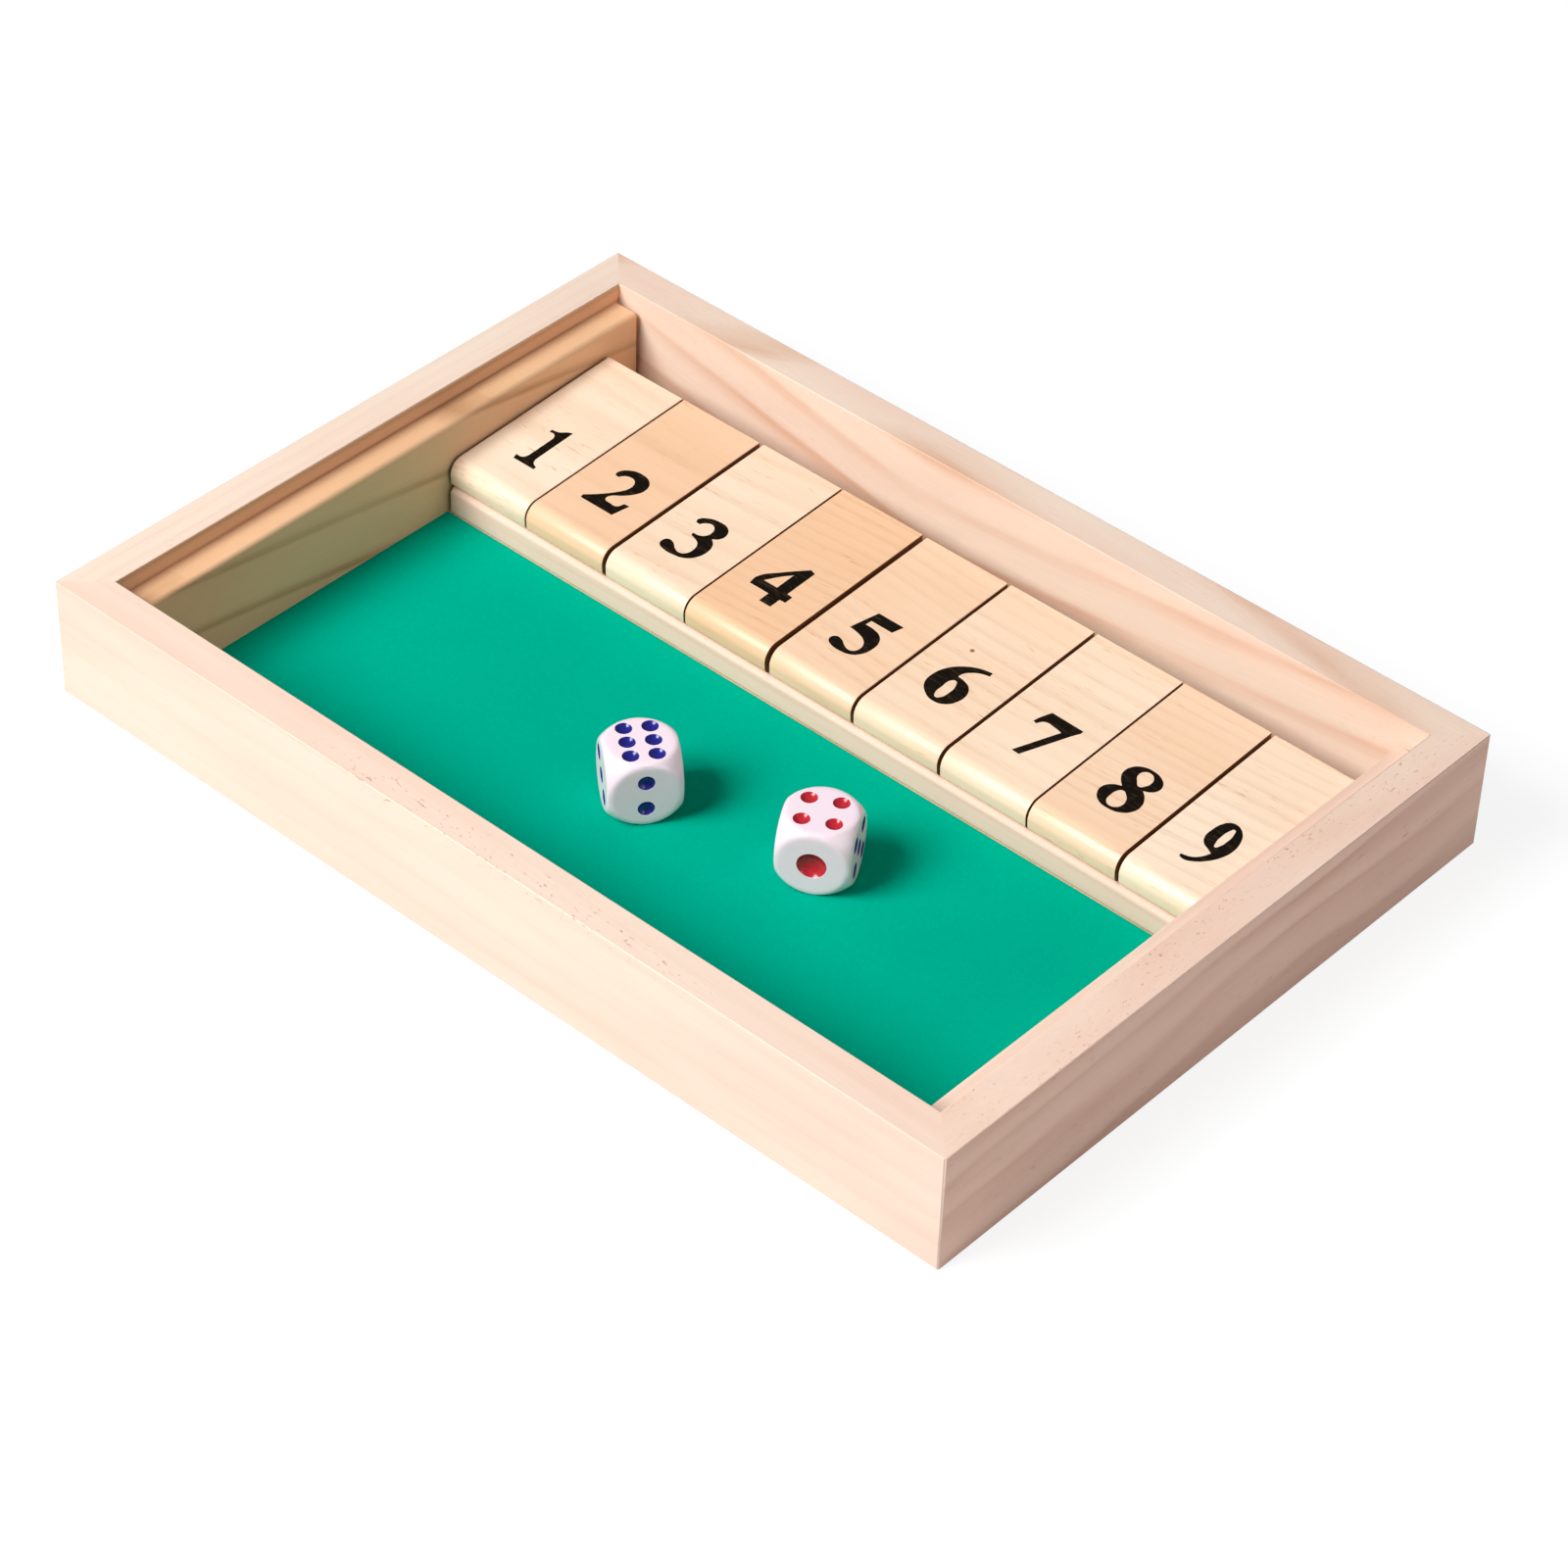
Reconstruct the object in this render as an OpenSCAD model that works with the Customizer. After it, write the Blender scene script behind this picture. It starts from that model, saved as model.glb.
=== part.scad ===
// Shut the box game: an open wooden tray with nine numbered flip tiles on a
// steel rod, a baize throwing area and two dice.
// Millimetres. +X runs along the row of tiles, from tile 1 to tile 9, +Y from the
// player to the tiles, +Z up. The origin is the centre of the underside.

/* [Frame] */
// Outside length of the frame
box_w = 240; // [200:1:300]
// Outside depth of the frame
box_d = 165.8; // [140:0.1:220]
// Height of the frame
box_h = 28.5; // [26:0.1:40]
// Thickness of the four boards
board_t = 8.8; // [6:0.1:11]

/* [Base] */
// Thickness of the base panel
base_t = 1.5; // [1:0.1:2.5]
// How far the panel reaches under each board
rebate_w = 3; // [2:0.1:5]
// Side clearance of the panel in its rebate
base_play = 0.2; // [0.1:0.05:0.5]
// Thickness of the baize
baize_t = 0.3; // [0.2:0.05:0.6]
// Clearance round the edge of the baize
baize_play = 0.15; // [0.05:0.05:0.5]

/* [Cheeks] */
// Thickness of the cheek strips
cheek_t = 6.4; // [6:0.1:12]
// Height of the left cheek strip above the base panel
cheek_h = 22.7; // [20:0.1:24]
// How much lower the right cheek strip stands
cheek_drop = 1.4; // [0:0.1:2]
// Radius of the cheeks' top inner edge
cheek_r = 1.1; // [0.5:0.1:4]
// Gap between a cheek's ends and the front and back boards
cheek_play = 1.1; // [0.2:0.1:2]

/* [Tiles] */
// Number of tiles
tile_count = 9; // [9:1:9]
// Length of a tile
tile_l = 49.5; // [40:0.1:60]
// Thickness of a tile
tile_t = 6.8; // [5.5:0.1:8.2]
// Average gap between two tiles
tile_gap = 0.8; // [0.4:0.05:1]
// Gap between the row and each cheek
row_play = 0.5; // [0.2:0.05:0.8]
// Radius of a tile's top front edge
tile_r = 3.5; // [2:0.1:4]
// Radius of a tile's lower front edge
tile_foot_r = 1.8; // [0.5:0.1:2]
// Distance from the rod's axis to a tile's back end
tile_tail = 5; // [4.5:0.1:7]

/* [Rod and rail] */
// Diameter of the rod
rod_d = 3; // [2:0.1:4]
// Radial running clearance of a tile on the rod
rod_run = 0.08; // [0.03:0.01:0.1]
// Radial clearance of the rod in the cheeks
rod_seat = 0.02; // [0.01:0.01:0.05]
// End clearance of the rod between the side boards
rod_end = 0.2; // [0.1:0.05:0.5]
// Distance from the back board's inner face to the rod's axis
rod_back = 15.4; // [14:0.1:20]
// Height of the rod's axis above the base panel
rod_up = 12.7; // [12:0.1:16]
// Height of the rail that the tiles rest on
rail_h = 6.8; // [5:0.1:8.2]
// Width of the rail, front to back
rail_w = 8; // [5:0.1:12]
// How far the rail stands out in front of the tiles
rail_lip = 0.3; // [0:0.1:2]
// Gap between the rail's ends and the cheeks
rail_play = 1; // [0.2:0.1:1.5]
// Radius of the rail's front edges
rail_r = 1.2; // [0.5:0.1:2]
// Clearance between a resting tile and the rail
rest_gap = 0.03; // [0.02:0.01:0.1]

/* [Dice] */
// Width of a die across its flats
die_w = 15.8; // [14:0.1:18]
// Diameter of the ball that rounds a die's edges
die_ball = 21.6; // [20:0.1:22]
// Diameter of a small pip
pip_d = 3.6; // [2:0.1:3.8]
// Depth of a small pip
pip_deep = 0.9; // [0.3:0.1:1.2]
// Diameter of the single pip
ace_d = 6.2; // [4:0.1:7]
// Depth of the single pip
ace_deep = 1.5; // [0.5:0.1:2]
// Distance from a face's centre lines to its corner pips
pip_out = 3.3; // [3:0.05:3.5]
// Distance from the centre line to each column of the six
six_out = 2.7; // [2.4:0.05:3]
// Distance from each pip of the six to the next in its column
six_up = 4.35; // [3.8:0.05:4.4]

/* [Hidden] */

$fn = 64;
// Oversize that carries a cut past a face
past = 1;

// Outer and inner corners of the frame
x_out = box_w / 2;
y_out = box_d / 2;
x_in = x_out - board_t;
y_in = y_out - board_t;

// Half and whole of the clear length between the cheeks
x_tray = x_in - cheek_t;
tray_w = 2 * x_tray;

// Levels
baize_top = base_t + baize_t;
rail_top = base_t + rail_h;

// The rod, the centre of a tile's lower front edge, and how far it dips to the rail
rod_y = y_in - rod_back;
rod_z = base_t + rod_up;
tile_nose = tile_l - tile_tail;
foot = [tile_nose - tile_foot_r, tile_t / 2 - tile_foot_r];
drop = rod_z - rail_top - rest_gap - tile_foot_r;
tilt = asin(drop / norm(foot)) - atan2(foot.y, foot.x);

// The row of tiles, and where each sits in its share of the gaps, from -1 to 1
tile_w = (tray_w - 2 * row_play - (tile_count - 1) * tile_gap) / tile_count;
tile_pitch = tile_w + tile_gap;
tile_shift = [0.25, -0.85, -0.1, -0.85, 0.25, 0.4, 0.65, 0, 0.25];

// The front of a resting tile sets the rail, and the rail sets the baize
tile_front = rod_y - tile_nose * cos(tilt);
rail_y = tile_front - rail_lip;

// Places of the dice: x, y and turn
die_left_at = [-8.7, -26.8];
die_left_turn = 53;
die_right_at = [31.7, -17.4];
die_right_turn = 28.8;

// The pips of each number, as places on a face
PIPS = [
    [],
    [[0, 0]],
    [[0, pip_out], [0, -pip_out]],
    [[pip_out, pip_out], [0, 0], [-pip_out, -pip_out]],
    [for (x = [-pip_out, pip_out], y = [-pip_out, pip_out]) [x, y]],
    concat([[0, 0]], [for (x = [-pip_out, pip_out], y = [-pip_out, pip_out]) [x, y]]),
    [for (x = [-six_out, six_out], y = [-six_up, 0, six_up]) [x, y]]
];

// Turns that carry the top face to the top, bottom, front, back, left and right
TURNS = [[0, 0, 0], [180, 0, 0], [90, 0, 0], [-90, 0, 0], [0, -90, 0], [0, 90, 0]];

// ---- Frame ----

// Space that the base panel takes from the boards
module rebate() {
    translate([-x_in - rebate_w, -y_in - rebate_w, -past])
        cube([2 * (x_in + rebate_w), 2 * (y_in + rebate_w), base_t + past]);
}

// A board mitred between two outer and two inner corners
module board(corners) {
    color("bisque")
    difference() {
        linear_extrude(box_h) polygon(corners);
        rebate();
    }
}

module frame_front() {
    board([[-x_out, -y_out], [x_out, -y_out], [x_in, -y_in], [-x_in, -y_in]]);
}

module frame_back() {
    mirror([0, 1, 0]) frame_front();
}

module frame_left() {
    board([[-x_out, -y_out], [-x_in, -y_in], [-x_in, y_in], [-x_out, y_out]]);
}

module frame_right() {
    mirror([1, 0, 0]) frame_left();
}

module base_panel() {
    reach = rebate_w - base_play;
    color("burlywood")
    translate([-x_in - reach, -y_in - reach, 0])
        cube([2 * (x_in + reach), 2 * (y_in + reach), base_t]);
}

module baize() {
    color("mediumseagreen")
    translate([-x_tray + baize_play, -y_in + baize_play, base_t])
        cube([tray_w - 2 * baize_play, rail_y + y_in - 2 * baize_play, baize_t]);
}

// ---- Cheeks, rod and rail ----

// An upright section, w wide and h high, with its top right edge rounded
module rounded_section(w, h, r) {
    square([w - r, h]);
    square([w, h - r]);
    translate([w - r, h - r]) circle(r);
}

// The strip on the left side, h high, with the rod's bore
module cheek(h) {
    difference() {
        translate([-x_in, y_in - cheek_play, base_t])
            rotate([90, 0, 0])
                linear_extrude(2 * (y_in - cheek_play)) rounded_section(cheek_t, h, cheek_r);
        translate([-x_in - past, rod_y, rod_z])
            rotate([0, 90, 0])
                cylinder(d = rod_d + 2 * rod_seat, h = cheek_t + 2 * past);
    }
}

module cheek_left() {
    color("peachpuff") cheek(cheek_h);
}

module cheek_right() {
    color("peachpuff") mirror([1, 0, 0]) cheek(cheek_h - cheek_drop);
}

module tile_rod() {
    color("silver")
    translate([rod_end - x_in, rod_y, rod_z])
        rotate([0, 90, 0])
            cylinder(d = rod_d, h = 2 * (x_in - rod_end));
}

module tile_rail() {
    color("wheat")
    translate([-x_tray + rail_play, rail_y, base_t])
        rotate([90, 0, 90])
            linear_extrude(tray_w - 2 * rail_play)
                difference() {
                    square([rail_w, rail_h]);
                    for (z = [0, rail_h])
                        translate([0, z]) rotate(z > 0 ? -90 : 0) spandrel(rail_r);
                }
}

// The waste outside a rounded corner at the origin
module spandrel(r) {
    difference() {
        translate([-past, -past]) square(r + past);
        translate([r, r]) circle(r);
    }
}

// ---- Tiles ----

// A tile about the rod's axis, its front edges rounded
module tile_body() {
    difference() {
        rotate([90, 0, 90])
            linear_extrude(tile_w)
                difference() {
                    translate([-tile_nose, -tile_t / 2]) square([tile_l, tile_t]);
                    translate([-tile_nose, tile_t / 2]) rotate(-90) spandrel(tile_r);
                    translate([-tile_nose, -tile_t / 2]) spandrel(tile_foot_r);
                }
        translate([-past, 0, 0])
            rotate([0, 90, 0])
                cylinder(d = rod_d + 2 * rod_run, h = tile_w + 2 * past);
    }
}

// Tile n of the row, lying with its nose on the rail
module tile(n) {
    x = -x_tray + row_play + (n - 1) * tile_pitch + tile_shift[n - 1] * tile_gap / 2;
    color("wheat") translate([x, rod_y, rod_z]) rotate([tilt, 0, 0]) tile_body();
}

// ---- Dice ----

// The ball that dishes a pip of diameter d, to a depth below the face
module pip(d, deep) {
    r = (d * d / 4 + deep * deep) / (2 * deep);
    translate([0, 0, r - deep]) sphere(r);
}

// A die resting on the baize; numbers go to the top, bottom, front, back, left and right
module die(numbers) {
    color("white")
    translate([0, 0, baize_top + die_w / 2])
        difference() {
            intersection() {
                cube(die_w, center = true);
                sphere(d = die_ball);
            }
            for (i = [0 : 5], place = PIPS[numbers[i]])
                rotate(TURNS[i])
                    translate([place.x, place.y, die_w / 2])
                        pip(numbers[i] == 1 ? ace_d : pip_d, numbers[i] == 1 ? ace_deep : pip_deep);
        }
}

module die_left() {
    translate(die_left_at) rotate(die_left_turn) die([6, 1, 2, 5, 3, 4]);
}

module die_right() {
    translate(die_right_at) rotate(die_right_turn) die([4, 3, 1, 6, 2, 5]);
}

frame_front();
frame_back();
frame_left();
frame_right();
base_panel();
baize();
cheek_left();
cheek_right();
tile_rail();
tile_rod();
tile(1);  // tile_1
tile(2);  // tile_2
tile(3);  // tile_3
tile(4);  // tile_4
tile(5);  // tile_5
tile(6);  // tile_6
tile(7);  // tile_7
tile(8);  // tile_8
tile(9);  // tile_9
die_left();
die_right();
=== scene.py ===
"""Shut the box game: the finished look of the pine tray, its nine number tiles and two dice.

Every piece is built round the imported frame, in metres, where the frame says it stands.
"""

import math
from dataclasses import dataclass

import bmesh
import bpy
from bpy.props import FloatProperty, FloatVectorProperty, IntProperty, PointerProperty
from mathutils import Matrix, Vector


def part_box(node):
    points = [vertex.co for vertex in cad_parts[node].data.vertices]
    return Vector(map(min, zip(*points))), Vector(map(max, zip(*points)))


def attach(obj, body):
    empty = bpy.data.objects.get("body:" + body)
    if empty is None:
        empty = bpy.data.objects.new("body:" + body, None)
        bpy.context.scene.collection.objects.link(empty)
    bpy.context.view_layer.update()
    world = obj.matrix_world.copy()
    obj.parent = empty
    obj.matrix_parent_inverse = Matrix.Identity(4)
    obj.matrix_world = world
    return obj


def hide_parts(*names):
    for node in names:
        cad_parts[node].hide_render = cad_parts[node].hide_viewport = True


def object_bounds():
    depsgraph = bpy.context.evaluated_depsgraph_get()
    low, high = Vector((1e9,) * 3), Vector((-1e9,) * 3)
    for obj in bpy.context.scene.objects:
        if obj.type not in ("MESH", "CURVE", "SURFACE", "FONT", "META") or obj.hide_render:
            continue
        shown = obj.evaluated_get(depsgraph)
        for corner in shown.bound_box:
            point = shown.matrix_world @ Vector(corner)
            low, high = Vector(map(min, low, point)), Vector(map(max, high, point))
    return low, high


bl_info = {
    "name": "Shut the Box",
    "version": (1, 0, 0),
    "blender": (4, 5, 0),
    "location": "View3D > Sidebar > Shut the Box",
    "description": "Builds a shut the box game round its construction frame",
    "category": "Add Mesh",
}

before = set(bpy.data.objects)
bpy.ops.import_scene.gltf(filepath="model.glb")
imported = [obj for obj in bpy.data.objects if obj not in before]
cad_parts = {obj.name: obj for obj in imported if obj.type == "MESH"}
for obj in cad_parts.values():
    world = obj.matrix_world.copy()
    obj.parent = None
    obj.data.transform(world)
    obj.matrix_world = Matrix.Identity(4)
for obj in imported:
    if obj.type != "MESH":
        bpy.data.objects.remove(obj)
cad_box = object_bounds()

MM = 0.001
WHITE = (1, 1, 1)
X_AXIS = Vector((1, 0, 0))
Z_AXIS = Vector((0, 0, 1))

# Points closer than this are one point, and faces within this angle are one flat face
WELD = 0.002 * MM
FLAT = math.radians(0.3)
# Facets that meet within this angle belong to one rounded face
ROUND = math.radians(25)
# An edge sharper than this was left by a saw or a cutter, and is eased by hand
SHARP = math.radians(50)
# A face looks along an axis when its normal's share along it is more than this
FACING = 0.9
# How finely rounds are drawn: facets round the rod and a pip, steps across an eased edge, and
# steps between two points of a numeral's curve
ROUND_FACETS = 48
EDGE_STEPS = 3
CURVE_STEPS = 6


def linear(hex_colour):
    """An sRGB hex colour as linear red, green and blue."""
    channels = [int(hex_colour[i:i + 2], 16) / 255 for i in (1, 3, 5)]
    return [c / 12.92 if c <= 0.04045 else ((c + 0.055) / 1.055) ** 2.4 for c in channels]


def mixed(colour_a, colour_b, share):
    """The colour that lies a share of the way from colour_a to colour_b."""
    return [a + (b - a) * share for a, b in zip(colour_a, colour_b)]


# ---- Sizes and colours ----


def length(name, description, millimetres):
    """A length property, written in millimetres and kept in metres."""
    return FloatProperty(
        name=name, description=description, default=millimetres * MM,
        min=0, precision=5, unit="LENGTH")


def offset(name, description, millimetres):
    """A length property that may be negative."""
    return FloatProperty(
        name=name, description=description, default=millimetres * MM, unit="LENGTH")


def angle(name, description, degrees):
    """An angle property, written in degrees and kept in radians."""
    return FloatProperty(
        name=name, description=description, default=math.radians(degrees),
        subtype="ANGLE", unit="ROTATION")


def power(name, description, watts):
    """A lamp's power in watts."""
    return FloatProperty(
        name=name, description=description, default=watts, min=0, unit="POWER")


def colour(name, description, hex_colour):
    """A colour property, written as an sRGB hex colour and kept linear."""
    return FloatVectorProperty(
        name=name, description=description, default=linear(hex_colour),
        size=3, min=0, max=1, subtype="COLOR")


class WoodSettings(bpy.types.PropertyGroup):
    """The tray's boards, cheeks, rail and base panel."""

    board_edge: length("Board edge", "Radius sanded on the boards' long edges", 0.2)
    corner_cut: length("Corner cut", "Width sanded off the frame's upright corners", 0.6)
    cheek_edge: length("Cheek edge", "Radius on the cheeks' and rail's sawn edges", 0.25)
    panel_edge: length("Panel edge", "Radius on the base panel's edges", 0.1)
    pale: colour("Early wood", "The soft pale wood of each ring", "#F3DFCC")
    dark: colour("Late wood", "The dense dark wood of each ring", "#D9A582")
    pink: colour("Heart tint", "The pink cast in parts of a board", "#F0CDBB")
    fleck: colour("Resin fleck", "The short dark resin canals", "#B97F6A")
    # Painted shade: the side boards' faces that look to the right, away from the key light, take
    # these browner and rosier tones in place of the shade they fall in
    painted_shade: colour("Heart side", "The browner wood nearest the heart", "#EBB890")
    painted_shade_ring: colour("Heart ring", "The dark rings nearest the heart", "#9A6238")
    rosy_painted_shade: colour("Rosy side", "The rosy wood of the right board's outer face", "#F5CFBB")
    rosy_painted_shade_ring: colour("Rosy ring", "The dark rings of that face", "#C98F78")
    cheek: colour("Left cheek", "The warm wood of the left cheek", "#EDBE94")
    cheek_dark: colour("Left cheek ring", "The dark rings of the left cheek", "#B07C50")
    ply: colour("Base veneer", "The peeled veneer under the tray", "#E6CFA9")
    ply_dark: colour("Base veneer ring", "The dark rings of that veneer", "#C79B66")


class TileSettings(bpy.types.PropertyGroup):
    """The nine number tiles and the print on them."""

    edge: length("Tile edge", "Radius on the tiles' sawn edges", 0.25)
    pale: colour("Pale tile", "The wood of the palest tile", "#FDE6CD")
    warm: colour("Warm tile", "The wood of the warmest tile", "#F2BC8E")
    line: colour("Tile grain", "The dark wood of each ring in a tile", "#C98F5C")
    # The sides' tone is partly the lacquered end grain and partly painted shade for the seams
    # between tiles
    end: colour("End grain", "The tiles' sawn sides, where the lacquer soaked in", "#94633C")
    end_dark_and_seam_shade: colour("End grain ring", "The dark rings of those sides", "#6E4425")
    knot: colour("Pin knot", "The tiny knot in the sixth tile", "#7A5230")
    print_base: length("Print base", "From the flat's front edge to the foot of a numeral", 7.0)
    ink_film: length("Ink film", "Thickness of the printed ink", 0.03)
    ink: colour("Ink", "The numerals' ink where it is solid", "#120C07")
    ink_worn: colour("Thin ink", "The ink where the film is thin", "#4A3A26")


class BaizeSettings(bpy.types.PropertyGroup):
    """The cloth on the tray's floor."""

    edge: length("Cloth edge", "Radius of the cut edge of the cloth", 0.02)
    nap: length("Nap", "How far the nap stands out past the cut edge", 0.15)
    green: colour("Baize", "The colour of the cloth", "#00AE92")
    shade: colour("Baize depth", "The colour between the fibres", "#00A688")


class DiceSettings(bpy.types.PropertyGroup):
    """The two dice and their pips."""

    ball: length("Ball", "Diameter of the ball that rounds a die's edges", 21.6)
    pip: length("Pip", "Diameter of a small pip", 3.6)
    pip_depth: length("Pip depth", "Depth of a small pip", 0.9)
    ace: length("Single pip", "Diameter of the single pip", 6.2)
    ace_depth: length("Single pip depth", "Depth of the single pip", 1.5)
    pip_out: length("Pip place", "From a face's centre lines to its corner pips", 3.3)
    six_out: length("Six place", "From the centre line to each column of the six", 2.7)
    six_up: length("Six spacing", "From each pip of the six to the next", 4.35)
    paint_film: length("Paint film", "Thickness of the paint in a pip", 0.03)
    cuts: IntProperty(name="Cuts", description="Divisions of a die's face", default=36, min=4)
    blend: FloatProperty(
        name="Blend", description="How tightly the flats meet the ball", default=60, min=8)
    white: colour("Resin", "The white of the dice", "#F7E4EE")
    blue: colour("Blue paint", "The paint in most pips", "#0D0C84")
    red: colour("Red paint", "The paint in the ones and fours", "#C2152B")


class StageSettings(bpy.types.PropertyGroup):
    """The floor, the lights and the camera."""

    azimuth: angle("Azimuth", "Angle of the view round the tray", 40.923)
    elevation: angle("Elevation", "Angle of the view above the floor", 40.473)
    roll: angle("Roll", "Turn of the picture about the line of sight", 2.097)
    distance: length("Distance", "From the camera to the point it aims at", 1009)
    aim_x: offset("Aim X", "Where along the row the camera aims", 7.41)
    aim_y: offset("Aim Y", "Where across the tray the camera aims", -1.03)
    lens: FloatProperty(name="Lens", default=113.61, min=1,
                        description="Focal length in millimetres, on a 36 mm sensor")
    floor: colour("Floor", "The pale floor", "#F4F4F4")
    key: power("Key light", "Power of the soft box on the player's left", 39.2)
    fill: power("Side fill", "Power of the weak soft box on the right", 3.7)
    sky: FloatProperty(name="Sky", default=0.18, min=0,
                       description="Strength of the plain white sky, where 1 is white")


class ShutBoxSettings(bpy.types.PropertyGroup):
    """Every size and colour of the game."""

    wood: PointerProperty(type=WoodSettings)
    tiles: PointerProperty(type=TileSettings)
    baize: PointerProperty(type=BaizeSettings)
    dice: PointerProperty(type=DiceSettings)
    stage: PointerProperty(type=StageSettings)


# ---- Materials ----


def add_node(tree, kind, inputs=None, **settings):
    """Adds a node, sets it, and links or fills its inputs."""
    node = tree.nodes.new(kind)
    for name, value in settings.items():
        setattr(node, name, value)
    for name, value in (inputs or {}).items():
        if isinstance(value, bpy.types.NodeSocket):
            tree.links.new(value, node.inputs[name])
        else:
            node.inputs[name].default_value = value
    return node


def new_material(name):
    """An empty material: its node tree and its output's surface socket."""
    material = bpy.data.materials.new(name)
    material.use_nodes = True
    tree = material.node_tree
    tree.nodes.clear()
    output = add_node(tree, "ShaderNodeOutputMaterial")
    return material, tree, output.inputs["Surface"]


def rgba(colour_value):
    """Three channels and full opacity."""
    return (*colour_value, 1)


def set_ramp(ramp_node, stops):
    """Gives a colour ramp its stops: (place, grey level)."""
    ramp = ramp_node.color_ramp
    while len(ramp.elements) < len(stops):
        ramp.elements.new(1)
    for element, (place, level) in zip(ramp.elements, stops):
        element.position = place
        element.color = (level, level, level, 1)
    return ramp_node.outputs["Color"]


def per_metre(millimetres):
    """A texture's scale for features of that size."""
    return 1 / (millimetres * MM)


@dataclass
class Timber:
    """How one piece of wood was cut from its tree, in millimetres and degrees."""

    # The axis that the grain runs along
    along: str = "X"
    # Where the pith lies, from the tray's origin
    pith: tuple = (0, 40, -60)
    # How far the grain is turned about X, Y and Z
    slant: tuple = (0, 2, 3)
    # From one ring to the next
    ring: float = 3.2
    # The share of a ring that is early wood
    late: float = 0.55
    # The arches of a flat-sawn face: their middle along the board, their rise and their bend
    crown: tuple = None
    # How far the rings wander
    sway: float = 2.5
    # How strongly the rings show, from 0 to 1
    contrast: float = 0.5
    # The least and the most of the pink cast, from 0 to 1
    pinkness: tuple = (0, 0.35)
    # How strongly the resin canals show, from 0 to 1
    flecks: float = 0.5
    # Length and width of a resin canal
    dash: tuple = (2.2, 0.5)
    # The one place that has canals: its centre and its reach along X, Y and Z
    pocket: tuple = None


def grain_noise(tree, grain, length_mm, width_mm, detail=2, roughness=0.5):
    """Noise in streaks of that length along the grain and that width across it."""
    across = per_metre(width_mm)
    streaks = add_node(tree, "ShaderNodeMapping", {
        "Vector": grain, "Scale": (per_metre(length_mm), across, across)})
    return add_node(tree, "ShaderNodeTexNoise", {
        "Vector": streaks.outputs["Vector"], "Scale": 1, "Detail": detail,
        "Roughness": roughness}).outputs


def timber_grain(tree, place, timber):
    """The place in the tree that a point was cut from, with X along the pith."""
    turn = [math.radians(a) for a in timber.slant]
    if timber.along == "Y":
        turn[2] -= math.pi / 2
    grain = add_node(tree, "ShaderNodeMapping", {
        "Vector": place, "Rotation": turn,
        "Location": [-p * MM for p in timber.pith]}).outputs["Vector"]
    return arched(tree, grain, *timber.crown) if timber.crown else grain


def late_wood(tree, grain, density, timber):
    """How much of the rings' dark late wood shows at a point."""
    # The trunk's slow bends carry the rings with them: about 90 mm long and 25 mm wide
    sway = grain_noise(tree, grain, 90, 25, roughness=0.45)
    swing = timber.sway * MM * 2
    bent = add_node(tree, "ShaderNodeVectorMath", {
        0: sway["Color"], 1: (swing, swing, swing), 2: grain},
        operation="MULTIPLY_ADD").outputs["Vector"]
    # A wave texture's rings repeat every 2 pi / 20 units at scale 1
    rings = add_node(tree, "ShaderNodeTexWave", {
        "Vector": bent, "Scale": math.tau / 20 / (timber.ring * MM)},
        wave_type="RINGS", rings_direction="X", wave_profile="SAW")
    late = set_ramp(add_node(tree, "ShaderNodeValToRGB", {"Fac": rings.outputs["Fac"]}),
                    [(0.0, 0.25), (0.12, 0.0), (timber.late, 0.12), (0.9, 1.0), (1.0, 0.45)])
    strength = add_node(tree, "ShaderNodeMapRange", {
        "Value": density, "From Min": 0.3, "From Max": 0.7,
        "To Min": 0.15 * timber.contrast, "To Max": timber.contrast})
    return add_node(tree, "ShaderNodeMath", {0: late, 1: strength.outputs["Result"]},
                    operation="MULTIPLY").outputs["Value"]


def resin_canals(tree, place, grain, density, timber):
    """Short dark dashes, crowded where the wood is dense or kept to one pocket of it."""
    dash = grain_noise(tree, grain, *timber.dash, roughness=0.6)["Fac"]
    canals = set_ramp(add_node(tree, "ShaderNodeValToRGB", {"Fac": dash}),
                      [(0.62, 0.0), (0.74, 1.0)])
    if timber.pocket:
        crowd = pocket_share(tree, place, timber.flecks, *timber.pocket)
    else:
        crowd = add_node(tree, "ShaderNodeMapRange", {
            "Value": density, "From Min": 0.42, "From Max": 0.62,
            "To Min": 0, "To Max": timber.flecks}).outputs["Result"]
    return add_node(tree, "ShaderNodeMath", {0: canals, 1: crowd},
                    operation="MULTIPLY").outputs["Value"]


def pink_cast(tree, grain, timber):
    """How pink the wood is: the cast comes and goes over about 70 mm by 14 mm."""
    cast = grain_noise(tree, grain, 70, 14)["Fac"]
    least, most = timber.pinkness
    return add_node(tree, "ShaderNodeMapRange", {
        "Value": cast, "From Min": 0.35, "From Max": 0.65,
        "To Min": least, "To Max": most}).outputs["Result"]


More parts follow.
